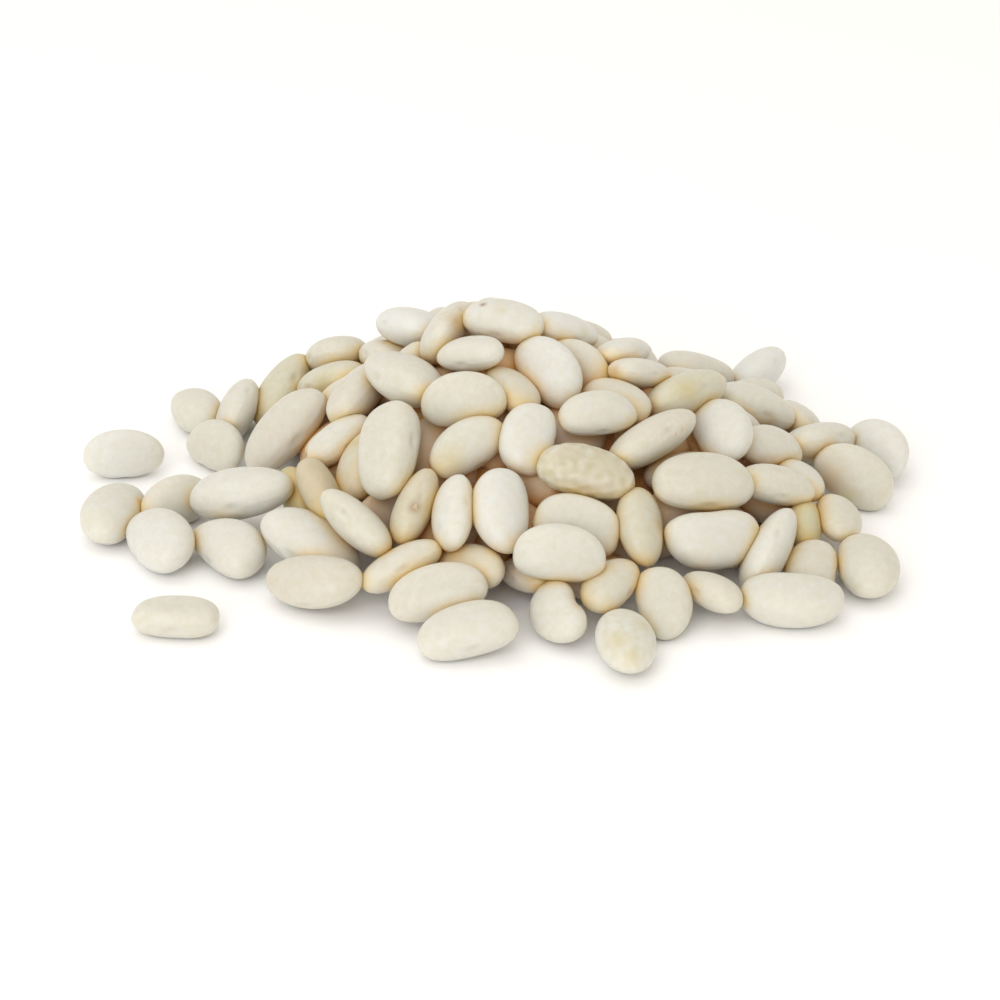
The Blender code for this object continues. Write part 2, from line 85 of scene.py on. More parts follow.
# The place from which the listed beans are seen: a look down from in front
VIEW_ELEVATION = np.radians(27.5)
EYE_DISTANCE = 407.0
LOOK_AT = np.array([0.0, -8.4, 0.0])
RIGHT = np.array([1.0, 0.0, 0.0])
AHEAD = np.array([0.0, np.cos(VIEW_ELEVATION), -np.sin(VIEW_ELEVATION)])
UP = np.array([0.0, np.sin(VIEW_ELEVATION), np.cos(VIEW_ELEVATION)])
EYE = LOOK_AT - EYE_DISTANCE * AHEAD
# The stretch of a line of sight that is searched for the heap, in steps, and how high over
# the crest such a line may pass and still stop there
SIGHT_FROM, SIGHT_TO, SIGHT_STEP = 250.0, 540.0, 0.05
NEAR_PASS = 4.5
# How a bean foreshortens: the square of its thickness over its length, roughly, the most that
# it may do so, and how far its breadth may differ from the usual one
END_ON_SHARE = 0.25
MOST_FORESHORTENED = 0.9
BREADTH_LEEWAY = (0.88, 1.1)

# The beans that show from the front: how far right of and above the middle of the view,
# length and breadth as seen, slant of the long axis in degrees, and how far each is sunk
SEEN_BEANS = (
    (-67.2, -1.9, 11.7, 9.7, 55, 0),
    (-58.6, -7.8, 12.1, 10.7, -50, 0),
    (-46.9, -8.1, 12.8, 9.5, -35, 0),
    (-55.5, 0.0, 12.4, 8.6, 20, 0),
    (-43.8, 1.4, 17.9, 8.6, 6, -1),
    (-52.2, 15.5, 9.0, 7.9, -50, 0),
    (-49.0, 9.1, 10.0, 8.6, -30, 0),
    (-44.0, 14.7, 10.3, 6.2, 60, 0),
    (-38.8, 16.9, 15.5, 7.2, 58, 1),
    (-36.9, 12.1, 18.1, 8.6, 48, 0),
    (-27.6, 23.8, 9.3, 5.5, 5, 0),
    (-29.1, 20.5, 11.4, 6.6, 20, 0),
    (-24.5, 18.1, 12.1, 7.6, 60, 0),
    (-16.7, 21.0, 13.1, 8.6, -30, 0),
    (-19.3, 24.7, 10.3, 5.2, -15, 2),
    (-28.1, 11.4, 12.4, 6.6, 45, 1),
    (-25.0, 6.4, 12.9, 7.8, 75, 2),
    (-18.8, 8.6, 16.4, 10.2, 84, -1),
    (-30.7, 1.4, 12.1, 6.2, -65, 1),
    (-24.7, -3.8, 14.3, 6.9, -42, 0),
    (-34.5, 1.4, 11.2, 6.2, -65, 3),
    (-32.8, -6.2, 18.1, 10.0, -32, 0),
    (-32.1, -13.4, 16.7, 10.0, -3, 0),
    (-16.9, -10.9, 15.2, 6.6, 27, 0),
    (-10.7, -15.7, 17.6, 10.0, 12, 0),
    (-5.7, -22.1, 17.8, 9.0, 14, 0),
    (-5.2, -11.2, 12.1, 7.8, -10, 2),
    (-14.8, -0.9, 13.8, 6.6, 68, 0),
    (-8.1, -2.2, 12.9, 7.1, 87, 0),
    (0.3, -1.4, 14.7, 9.8, 92, -1),
    (-6.4, 17.6, 14.8, 9.5, 5, -1),
    (-4.8, 25.2, 11.4, 6.0, 2, 1),
    (-5.5, 9.5, 14.5, 8.6, 32, 1),
    (-15.2, 29.3, 11.0, 6.9, -8, 1),
    (-9.3, 29.3, 10.7, 6.6, 50, 0),
    (0.5, 30.9, 13.8, 7.2, -10, 0),
    (5.0, 11.0, 12.1, 10.3, 80, -1),
    (2.8, 19.3, 10.0, 6.6, -50, 3),
    (7.8, 22.6, 13.8, 9.7, -52, 0),
    (14.1, 23.8, 12.1, 8.3, -30, 2),
    (10.9, 29.1, 11.2, 6.2, -8, 0),
    (21.0, 25.3, 8.6, 5.2, 10, 0),
    (23.3, 21.9, 11.2, 5.2, -8, 0),
    (16.7, 15.2, 13.4, 7.6, 7, 0),
    (20.2, 17.6, 12.1, 6.6, -25, 1),
    (26.0, 10.7, 15.9, 7.2, 30, 0),
    (14.5, 5.0, 17.2, 8.6, -14, 0),
    (13.4, -4.1, 15.2, 10.0, -15, 1),
    (10.3, -9.0, 16.2, 9.8, -5, -1),
    (4.8, -11.6, 9.7, 6.6, -20, 2),
    (24.3, -4.1, 13.4, 7.9, 95, 0),
    (10.0, -19.1, 11.4, 9.7, -60, 0),
    (18.6, -14.5, 11.4, 7.8, 45, 0),
    (28.1, -16.4, 12.8, 9.7, -78, 0),
    (21.9, -25.0, 12.1, 10.3, 100, 0),
    (35.0, 3.4, 17.2, 9.7, 0, -1),
    (36.7, -6.6, 16.7, 10.0, 0, 0),
    (37.1, -15.2, 10.3, 6.2, -30, 0),
    (38.4, 11.9, 12.1, 10.0, -65, 0),
    (33.6, 22.1, 12.4, 5.9, -12, 0),
    (31.7, 18.3, 13.8, 7.9, 20, 0),
    (44.5, 21.2, 10.3, 6.6, 45, 0),
    (44.0, 16.4, 13.8, 6.9, -20, 0),
    (46.9, 8.8, 11.4, 7.2, -10, 0),
    (51.4, 13.8, 8.6, 6.2, -40, 0),
    (54.7, 10.3, 11.0, 6.9, 10, 0),
    (64.8, 8.4, 11.7, 9.7, -35, 0),
    (60.9, 4.1, 14.7, 9.7, -35, 0),
    (47.4, 2.4, 13.1, 6.6, -12, 0),
    (52.2, 3.4, 9.5, 6.2, -50, 1),
    (46.7, -7.8, 15.2, 6.6, 62, 0),
    (53.6, -3.1, 8.3, 6.2, 80, 1),
    (58.3, -2.8, 9.3, 7.2, -70, 0),
    (53.4, -11.6, 11.0, 9.7, 80, 0),
    (51.2, -18.1, 17.9, 9.3, -3, 0),
    (63.6, -11.2, 11.7, 10.3, -70, 0),
    (32.4, 5.2, 14.8, 7.6, 10, 3),
)
# Beans that show only in the gaps between those above
DEEP_BEANS = (
    (-19.8, -2.1, 12.0, 8.0, 30, 5),
    (-12.1, 9.5, 12.0, 8.0, 70, 5),
    (5.5, 2.6, 12.0, 8.0, -10, 5),
    (29.7, -1.6, 12.0, 8.0, 10, 5),
    (1.0, 23.3, 11.0, 7.0, 0, 4),
)
# Beans that lie on the table clear of the heap
BEANS_APART = {
    "bean_apart_front": (-55.9, -19.8, 14.8, 7.4, -2, 0),
    "bean_apart_left": (-64.8, 7.6, 13.8, 8.4, 3, 0),
}

# The beans that the view doesn't show, laid by a rule: how deep each layer lies, the tries
# made for it, and how much room a new bean needs (2.0 only just touches its neighbour).
# They reach past the foot behind the middle, and stay well inside it in front
SEED = 8
LAYERS = ((0.0, 9000), (6.5, 4000), (13.0, 3000))
ROOM_NEEDED = 1.25
FRONT_REACH, OUTER_REACH = -16.0, 4.0
WIDEST_REACH = 75.0
OUTER_LOWERINGS = (0.0, 1.5, 3.0)
LEAST_HEIGHT = 1.8
HIDDEN_SPAN = 0.9
LEAN_SPREAD, ROLL_SPREAD = 0.25, 0.5

# Settling: the beans are pushed off each other and the table, held near their places and
# let down a little each time. The listed ones give way less than the others, those on the
# table are drawn to neighbours that they nearly touch, and touching beans share a contact
STEPS = 300
CONTACT = 0.25
HOLD_SEEN, HOLD_HIDDEN = 0.16, 0.06
HOLD_LEFT = 0.25
EASE_SEEN = 0.4
SIGHT_FREEDOM = 0.85
HOLD_TURN = 1.5
FALL = 0.02
PUSH, TABLE_PUSH = 0.55, 0.8
SLIDE = 0.06
DRAW = 0.12
DRAW_WITHIN = 2.5
DRAW_BELOW = 6.0
MOST_MOVE, MOST_SPIN = 0.6, 0.08


def unit(vectors):
    return vectors / np.linalg.norm(vectors, axis=-1, keepdims=True)


def foot_radius(x, y):
    """How far the heap reaches in the direction of this point, smooth between the named ones."""
    radii = np.array(FOOT_RADII, float)
    turn = np.mod(-np.arctan2(y, x), 2 * np.pi) / (2 * np.pi) * len(radii)
    first = np.floor(turn).astype(int) % len(radii)
    part = turn - np.floor(turn)
    part = part * part * (3 - 2 * part)
    return radii[first] * (1 - part) + radii[(first + 1) % len(radii)] * part


def heap_top(x, y):
    """Height of the heap's outer surface: a cone with a rounded crest, down to one layer."""
    share = np.hypot(x, y) / foot_radius(x, y)
    k = CREST_ROUNDING
    fallen = (np.sqrt(share * share + k * k) - k) / (np.sqrt(1 + k * k) - k)
    return ONE_LAYER + (HEAP_TOP - ONE_LAYER) * np.clip(1 - fallen, 0, 1)


def heap_normal(x, y, step=1.5):
    slope_x = (heap_top(x + step, y) - heap_top(x - step, y)) / (2 * step)
    slope_y = (heap_top(x, y + step) - heap_top(x, y - step)) / (2 * step)
    return unit(np.array([-slope_x, -slope_y, 1.0]))


def place_seen(right, up, sunk):
    """The point where a line of sight meets the middle of the heap's outer layer.

    A line that only just clears the crest stops where it passes nearest to the layer.
    """
    sight = unit(AHEAD * EYE_DISTANCE + RIGHT * right + UP * up)
    along = np.arange(SIGHT_FROM, SIGHT_TO, SIGHT_STEP)
    points = EYE + along[:, None] * sight
    layer = heap_top(points[:, 0], points[:, 1]) - HALF_THICK - sunk
    clear = points[:, 2] - np.maximum(layer, HALF_THICK)
    meets = int(np.argmax(clear <= 0))
    middle = clear[1:-1]
    passes = np.flatnonzero((middle <= clear[:-2]) & (middle < clear[2:]) & (middle < NEAR_PASS))
    if len(passes) and passes[0] + 1 < meets:
        meets = int(passes[0]) + 1
    return points[meets]


def lie_seen(centre, seen_length, seen_breadth, slant):
    """Axes (long, broad, thick) and half sizes of a bean that looks like this on the slope."""
    nearness = ((centre - EYE) @ AHEAD) / EYE_DISTANCE
    seen_length, seen_breadth = seen_length * nearness, seen_breadth * nearness
    sight = unit(centre - EYE)
    level = unit(RIGHT - (RIGHT @ sight) * sight)
    across = np.cos(np.radians(slant)) * level + np.sin(np.radians(slant)) * np.cross(level, sight)
    slope = heap_normal(centre[0], centre[1])
    # The long axis lies in the slope, unless the length seen asks for another tilt
    tilt = np.arctan(-(across @ slope) / (sight @ slope))
    true_length = seen_length / np.sqrt(np.cos(tilt) ** 2 + END_ON_SHARE * np.sin(tilt) ** 2)
    length = float(np.clip(true_length, SHORTEST, LONGEST))
    if length != true_length:
        lost = (1 - (seen_length / length) ** 2) / (1 - END_ON_SHARE)
        tilt = np.copysign(np.arcsin(np.sqrt(np.clip(lost, 0, MOST_FORESHORTENED))), tilt)
    long_axis = np.cos(tilt) * across + np.sin(tilt) * sight
    broad, thick = BROAD_SHARE * length, THICK_SHARE * length
    seen_breadth = np.clip(seen_breadth, BREADTH_LEEWAY[0] * thick, BREADTH_LEEWAY[1] * broad)
    broad, thick = max(broad, seen_breadth), min(thick, seen_breadth)
    # The roll shows as much breadth as is seen, on the side that the slope leans to
    side = unit(np.cross(long_axis, sight))
    face = np.cross(side, long_axis)
    face = -face if face @ sight > 0 else face
    flat = slope - (slope @ long_axis) * long_axis
    breadth_share = (seen_breadth**2 - thick**2) / (broad**2 - thick**2)
    roll = np.arccos(np.sqrt(np.clip(breadth_share, 0, 1))) * (1 if flat @ side >= 0 else -1)
    thin_axis = np.cos(roll) * face + np.sin(roll) * side
    axes = np.column_stack([long_axis, np.cross(thin_axis, long_axis), thin_axis])
    return axes, np.array([length, broad, thick]) / 2


def out_of_sight(centre, frame, half, centres, axes, halves):
    """Whether the beans already laid hide this one, its middle, ends and sides, from the viewer."""
    reach = HIDDEN_SPAN * (frame * half).T
    points = centre + np.concatenate([np.zeros((1, 3)), reach, -reach])
    sights = unit(EYE - points)
    start = np.einsum("nji,npj->npi", axes, points - centres[:, None]) / halves[:, None]
    way = np.einsum("nji,pj->npi", axes, sights) / halves[:, None]
    towards = (start * way).sum(2)
    square = (way**2).sum(2)
    crosses = (towards < 0) & (towards**2 > square * ((start**2).sum(2) - 1))
    return bool(crosses.any(0).all())


def spreads(axes, halves):
    """Each bean's ellipsoid as a matrix, which gives its reach in any direction."""
    return np.einsum("nij,nj,nkj->nik", axes, halves**2, axes)


def has_room(centre, frame, half, centres, axes, halves):
    both = spreads(axes, halves) + frame @ np.diag(half**2) @ frame.T
    away = centres - centre
    return (away * np.linalg.solve(both, away[:, :, None])[:, :, 0]).sum(1).min() >= ROOM_NEEDED


def lay_hidden(random, centres, axes, halves, depth, tries):
    """Adds the beans of one layer wherever those so far leave room."""
    for _ in range(tries):
        angle, radius = random.uniform(0, 2 * np.pi), np.sqrt(random.uniform()) * WIDEST_REACH
        x, y = radius * np.cos(angle), radius * np.sin(angle)
        length = float(np.clip(random.normal(USUAL_LENGTH, LENGTH_SPREAD), SHORTEST, LONGEST))
        heading, lean = random.uniform(0, np.pi), random.normal(0, LEAN_SPREAD)
        roll = random.normal(0, ROLL_SPREAD)
        reach = FRONT_REACH
        if y > 0:
            reach = OUTER_REACH if depth == 0 else 0.0
        if radius > foot_radius(x, y) + reach:
            continue
        z = float(heap_top(x, y)) - HALF_THICK - depth
        if z < LEAST_HEIGHT:
            continue
        slope = heap_normal(x, y)
        level = unit(np.cross(slope, [np.cos(heading), np.sin(heading), 0.0]))
        long_axis = unit(np.cos(lean) * level + np.sin(lean) * slope)
        side = unit(np.cross(slope, long_axis))
        thin_axis = np.cos(roll) * np.cross(long_axis, side) + np.sin(roll) * side
        frame = np.column_stack([long_axis, np.cross(thin_axis, long_axis), thin_axis])
        half = np.array([length, BROAD_SHARE * length, THICK_SHARE * length]) / 2
        laid = np.array(centres), np.array(axes), np.array(halves)
        for lowering in OUTER_LOWERINGS if depth == 0 else (0.0,):
            centre = np.array([x, y, max(z - lowering, HALF_THICK)])
            hidden = depth > 0 or out_of_sight(centre, frame, half, *laid)
            if hidden and has_room(centre, frame, half, *laid):
                centres.append(centre)
                axes.append(frame)
                halves.append(half)
                break


def turned(axes, spins):
    """The frames turned by small rotation vectors, kept square."""
    moved = axes + np.cross(spins[:, :, None], axes, axis=1)
    long_axis = unit(moved[:, :, 0])
    thin_axis = moved[:, :, 2]
    thin_axis = unit(thin_axis - (thin_axis * long_axis).sum(1, keepdims=True) * long_axis)
    return np.stack([long_axis, np.cross(thin_axis, long_axis), thin_axis], 2)


def closest_way(spread_a, spread_b, apart):
    """For pairs of beans: the direction of least overlap, both contact arms, and the overlap."""
    way = unit(np.linalg.solve(spread_a + spread_b, apart[:, :, None])[:, :, 0])
    for last in (False, False, False, True):
        arm_a = np.einsum("nij,nj->ni", spread_a, way)
        arm_b = np.einsum("nij,nj->ni", spread_b, way)
        reach_a = np.sqrt((arm_a * way).sum(1))
        reach_b = np.sqrt((arm_b * way).sum(1))
        arm_a, arm_b = arm_a / reach_a[:, None], -arm_b / reach_b[:, None]
        if not last:
            slide = apart - arm_a + arm_b
            slide -= (slide * way).sum(1, keepdims=True) * way
            way = unit(way + SLIDE * slide)
    return way, arm_a, arm_b, reach_a + reach_b - (apart * way).sum(1)


def lever(axes, inertia, arm, way):
    """How a push along `way` at the end of `arm` moves and turns a free bean."""
    local = np.einsum("nji,nj->ni", axes, np.cross(arm, way))
    return 1 + (local**2 / inertia).sum(1), np.einsum("nij,nj->ni", axes, local / inertia)


def settle(centres, axes, halves, seen):
    """The beans' places once they rest on each other. The last of the seen ones lie apart."""
    centres, home, home_axes = centres.copy(), centres, axes
    square = halves**2
    inertia = (square.sum(1, keepdims=True) - square) / 5
    sight = unit(centres - EYE)
    is_seen = np.arange(len(centres))[:, None] < seen
    alone = (np.arange(len(centres)) < seen) & (np.arange(len(centres)) >= seen - len(BEANS_APART))
    holds = np.where(is_seen, HOLD_SEEN, HOLD_HIDDEN)
    ease = np.where(is_seen[:, 0], EASE_SEEN, 1.0)
    first, second = np.triu_indices(len(centres), 1)
    up = np.array([0.0, 0.0, 1.0])
    for step in range(STEPS):
        hold = holds * (1 - (1 - HOLD_LEFT) * step / STEPS)
        apart = np.linalg.norm(centres[second] - centres[first], axis=1)
        near = apart < halves[first, 0] + halves[second, 0] + DRAW_WITHIN
        a, b = first[near], second[near]
        spread = spreads(axes, halves)
        way, arm_a, arm_b, over = closest_way(spread[a], spread[b], centres[b] - centres[a])
        over -= CONTACT
        weight_a, spin_a = lever(axes[a], inertia[a], arm_a, way)
        weight_b, spin_b = lever(axes[b], inertia[b], arm_b, way)
        yields = weight_a * ease[a] + weight_b * ease[b]
        push = np.where(over > 0, PUSH * over / yields, 0)
        nearly = (over < 0) & (over > -DRAW_WITHIN) & ~alone[a] & ~alone[b]
        low = (centres[a, 2] < DRAW_BELOW) & (centres[b, 2] < DRAW_BELOW)
        gentle = np.where(nearly & low, DRAW * over, 0)
        move, spin = np.zeros_like(centres), np.zeros_like(centres)
        np.add.at(move, a, -(push * ease[a] + gentle)[:, None] * way)
        np.add.at(move, b, (push * ease[b] + gentle)[:, None] * way)
        np.add.at(spin, a, -(push * ease[a])[:, None] * spin_a)
        np.add.at(spin, b, (push * ease[b])[:, None] * spin_b)
        # The table
        reach = np.sqrt(spread[:, 2, 2])
        arm = -spread[:, :, 2] / reach[:, None]
        weight, turn = lever(axes, inertia, arm, np.broadcast_to(up, arm.shape))
        push = TABLE_PUSH * np.clip(reach - centres[:, 2], 0, None) / weight
        move += push[:, None] * up
        spin += push[:, None] * turn
        # Each bean's place, which for a seen bean holds less along its line of sight
        back = home - centres
        along = (back * sight).sum(1, keepdims=True) * sight
        move += hold * np.where(is_seen, back - SIGHT_FREEDOM * along, back)
        for axis in (0, 2):
            spin += HOLD_TURN * hold * np.cross(axes[:, :, axis], home_axes[:, :, axis])
        move[:, 2] -= FALL
        move *= np.minimum(1, MOST_MOVE / np.maximum(np.linalg.norm(move, axis=1), 1e-9))[:, None]
        spin *= np.minimum(1, MOST_SPIN / np.maximum(np.linalg.norm(spin, axis=1), 1e-9))[:, None]
        centres = centres + move
        axes = turned(axes, spin)
    return np.round(centres, 2), np.round(axes, 4)


def lay_beans():
    """Places, axes and half sizes of all the beans, with how many are listed and how many lie
    in the outer layer or are listed. The order is seen, deep, apart, and then the hidden ones."""
    centres, axes, halves = [], [], []
    listed_beans = SEEN_BEANS + DEEP_BEANS + tuple(BEANS_APART.values())
    for right, up, length, breadth, slant, sunk in listed_beans:
        centre = place_seen(right, up, sunk)
        frame, half = lie_seen(centre, length, breadth, slant)
        centres.append(centre)
        axes.append(frame)
        halves.append(half)
    seen = len(centres)
    random = np.random.default_rng(SEED)
    counts = []
    for depth, tries in LAYERS:
        lay_hidden(random, centres, axes, halves, depth, tries)
        counts.append(len(centres))
    halves = np.array(halves)
    centres, axes = settle(np.array(centres), np.array(axes), halves, seen)
    return centres, axes, halves, seen, counts[0]


# A bean's form, in shares of its half sizes: how much blunter than an ellipsoid it is, how much
# stouter one end may be, and the shallow lumps of drying with their number, height and pitch
BLUNTNESS = 2.16
TAPER = 0.05
LUMPS, LUMP_HIGH, LUMP_PITCH = 5, 0.006, (0.6, 1.7)
FULL_TURN = 6.28
# The scar in the middle of its inner edge, the lips round it and the seam through it, and the
# notch and the flattened side that a few beans have
SCAR_LONG, SCAR_WIDE, SCAR_DEEP = 0.15, 0.16, 0.07
LIP_SPREAD, LIP_SHARE = 1.9, 0.3
SEAM_WIDE, SEAM_HIGH, SEAM_ROUND = 0.10, 0.012, 0.3
NOTCH_LONG, NOTCH_WIDE = 0.32, 0.7
FLAT_LONG, FLAT_WIDE = 0.55, 0.5
# The wrinkles of a puckered bean: how many waves, their lengths and their height in mm
WRINKLES, WRINKLE_MM, WRINKLE_HIGH = 16, (1.3, 2.4), 0.014
# A bean whose lowest point comes this near to the table rests on it
RESTS_WITHIN = 0.7
# How many quads across one sixth of a bean: in front, behind and buried
FINE_NET, MIDDLE_NET, COARSE_NET = 24, 14, 8


def net_on_ball(count):
    """A ball's surface as six square nets of quads: its points and faces."""
    steps = np.tan(np.linspace(-np.pi / 4, np.pi / 4, count + 1))
    row, column = np.meshgrid(steps, steps, indexing="ij")
    ones = np.ones_like(row)
    sides = [(ones, row, column), (-ones, column, row), (column, ones, row),
             (row, -ones, column), (row, column, ones), (column, row, -ones)]
    points = unit(np.concatenate([np.stack(side, -1).reshape(-1, 3) for side in sides]))
    wide = count + 1
    quads = []
    for side in range(len(sides)):
        first = side * wide**2 + np.arange(count)[:, None] * wide + np.arange(count)
        corners = [first, first + wide, first + wide + 1, first + 1]
        quads.append(np.stack(corners, -1).reshape(-1, 4))
    _, kept, same = np.unique(np.round(points, 6), axis=0, return_index=True, return_inverse=True)
    return points[kept], same.reshape(-1)[np.concatenate(quads)]


def spot(along, across, long, wide):
    """A soft spot, 1 in its middle, this long and wide."""
    return np.exp(-((along / long) ** 2) - (across / wide) ** 2)


def bean_form(net, half, random, blunt=BLUNTNESS, bend=BEND_SHARE, taper=None, slim=1.0, flat=0.0,
              notch=0.0, wrinkled=0.0, over=False):
    """One bean's skin about its own middle, along its long, broad and thick axes, with the
    share of its scar and the height of its wrinkles at each point.

    The scar is on the lower broad side, and `over` turns it up.
    """
    long, broad, thick = net.T
    skin = net * (np.abs(net) ** blunt).sum(1, keepdims=True) ** (-1 / blunt)
    swell = np.zeros(len(net))
    for _ in range(LUMPS):
        way, pitch = unit(random.normal(size=3)), random.uniform(*LUMP_PITCH)
        swell += LUMP_HIGH * np.sin(pitch * np.pi * (net @ way) + random.uniform(0, FULL_TURN))
    if taper is None:
        taper = random.uniform(-TAPER, TAPER)
    skin = skin * (1 + swell)[:, None]
    skin[:, 1:] *= 1 + taper * skin[:, :1]
    skin[:, 2] -= flat * spot(long, broad, FLAT_LONG, FLAT_WIDE) * (thick > 0)
    inner = broad < 0
    scar = spot(long, thick, SCAR_LONG, SCAR_WIDE) * inner
    lips = spot(long, thick, LIP_SPREAD * SCAR_LONG, LIP_SPREAD * SCAR_WIDE) * inner - scar
    seam = np.exp(-((thick / SEAM_WIDE) ** 2)) * np.clip(-broad + SEAM_ROUND, 0, 1)
    skin[:, 1] += SCAR_DEEP * scar - LIP_SHARE * SCAR_DEEP * lips
    skin[:, 1] += notch * spot(long, thick, NOTCH_LONG, NOTCH_WIDE) * inner
    skin *= (1 + SEAM_HIGH * seam)[:, None]
    points = skin * half * (1.0, slim, slim)
    points[:, 1] += bend * 2 * half[0] * (1 / 3 - skin[:, 0] ** 2)
    wrinkles = np.zeros(len(net))
    if wrinkled:
        for _ in range(WRINKLES):
            way, phase = unit(random.normal(size=3)), random.uniform(0, FULL_TURN)
            wrinkles += np.sin(2 * np.pi / random.uniform(*WRINKLE_MM) * (points @ way) + phase)
        points += wrinkled * WRINKLE_HIGH * wrinkles[:, None] * unit(net / half)
    if over:
        points[:, 1:] *= -1
    return points, scar, wrinkles


def on_bean(bean, right, up):
    """The point of a bean's skin that shows this far right of and above the middle of the view."""
    sight = unit(AHEAD * EYE_DISTANCE + RIGHT * right + UP * up)
    start = bean_axes[bean].T @ (EYE - bean_centres[bean]) / bean_halves[bean]
    way = bean_axes[bean].T @ sight / bean_halves[bean]
    towards = start @ way
    inside = max(towards**2 - (way @ way) * (start @ start - 1), 0.0)
    return EYE - (towards + np.sqrt(inside)) / (way @ way) * sight


# How near another bean's skin comes before a skin takes painted shade, the most of it that one
# neighbour gives, and how far apart two beans are before it isn't worth working out
CLOSE_RANGE, CLOSE_MOST, CLOSE_REACH = 1.3, 0.85, 3.0
# How deep in the heap the painted brown shade of its gaps starts and over what depth it grows,
# and how far in from its foot
DEEP_FROM, DEEP_OVER = 2.5, 5.0
FOOT_MARGIN, FOOT_FADE = 2.0, 18.0


def contact_shade_mask(points, own, centres, axes, halves):
    """How nearly other beans' skins come to each point, from 0 to 1: the mask of the painted shade
    between beans.
    """
    open_share = np.ones(len(points))
    reach = halves[:, 0] + halves[own, 0] + CLOSE_REACH
    for other in np.flatnonzero(np.linalg.norm(centres - centres[own], axis=1) < reach):
        if other != own:
            away = points - centres[other]
            share = np.linalg.norm((away @ axes[other]) / halves[other], axis=1)
            gap = np.clip((share - 1) / share * np.linalg.norm(away, axis=1), 0, None)
            open_share *= 1 - CLOSE_MOST * np.exp(-gap / CLOSE_RANGE)
    return 1 - open_share


def depth_shade_mask(points):
    """How far under the heap's outer surface each point lies, from 0 to 1, and 0 past its foot, as
    a mask of painted brown shade.
    """
    x, y = points[:, 0], points[:, 1]
    depth_shade = np.clip((heap_top(x, y) - points[:, 2] - DEEP_FROM) / DEEP_OVER, 0, 1)
    return depth_shade * np.clip((foot_radius(x, y) + FOOT_MARGIN - np.hypot(x, y)) / FOOT_FADE, 0, 1)


def linear(sheet_colour):
    """An sRGB hex colour as linear red, green, blue and alpha."""
    parts = [int(sheet_colour[i : i + 2], 16) / 255 for i in (1, 3, 5)]
    return (*[c / 12.92 if c <= 0.04045 else ((c + 0.055) / 1.055) ** 2.4 for c in parts], 1.0)


def add_node(tree, kind, inputs=None, **settings):
    """Adds a node with its settings. An input is given a value, or another node's output."""
    made = tree.nodes.new(kind)
    for name, value in settings.items():
        setattr(made, name, value)
    for name, value in (inputs or {}).items():
        if isinstance(value, bpy.types.NodeSocket):
            tree.links.new(value, made.inputs[name])
        else:
            made.inputs[name].default_value = value
    return made


# The dried skin: its colours when pale, warm, unripe, blushed and shaded, the painted shade where
# beans all but touch and deep down between them, and the scar
COAT_PALE, COAT_WARM, COAT_GREEN = "#D6D7D3", "#BEB698", "#AFA962"
COAT_BLUSH, COAT_SHADED = "#D5CDC2", "#B0925E"
SHADE_BETWEEN_BEANS, DEEP_SHADE_BROWN = "#DCB95E", "#CC883A"
SCAR_COLOUR = "#B8935E"
# Blotches of drying, blushes and the fine grain of the skin, in mm. The real grain is finer than
# 0.1 mm, and is drawn as coarse as it needs to be to show
MOTTLE_MM, BLUSH_MM, GRAIN_MM = 1.4, 5.0, 0.35
MOTTLE = {"Scale": 1 / (MOTTLE_MM * MM), "Detail": 4.0, "Roughness": 0.6, "Distortion": 0.6}
BLUSH = {"Scale": 1 / (BLUSH_MM * MM), "Detail": 2.0}
GRAIN = {"Scale": 1 / (GRAIN_MM * MM), "Detail": 3.0}
PUCKER = {"Strength": 0.35, "Distance": 0.10 * MM}
ROUGH_GRAIN = {"Strength": 0.5, "Distance": 0.02 * MM}
# How much the blotches warm the skin, how far the blushes tint it, and how the painted shade
# between beans grows with closeness, the deep brown one also with depth
BLOTCH_SHARE = {"From Min": 0.35, "From Max": 0.7, "To Min": -0.10, "To Max": 0.15}
BLUSH_SHARE = {"From Min": 0.45, "From Max": 0.75, "To Min": 0.0, "To Max": 0.35}
CONTACT_SHADE_SHARE = {"From Min": 0.15, "From Max": 0.95, "To Min": 0.0, "To Max": 0.9}
DEPTH_SHADE_SHARE = {"To Min": 0.15, "To Max": 1.0}
# Wax on a dry skin, a little duller where it is blotched, and the pale seed that light gets into
COAT_ROUGHNESS = {"To Min": 0.34, "To Max": 0.52}
SEED_BODY = {"IOR": 1.45, "Subsurface Weight": 0.85, "Subsurface Radius": (1.0, 0.9, 0.65),
             "Subsurface Scale": 3.5 * MM}


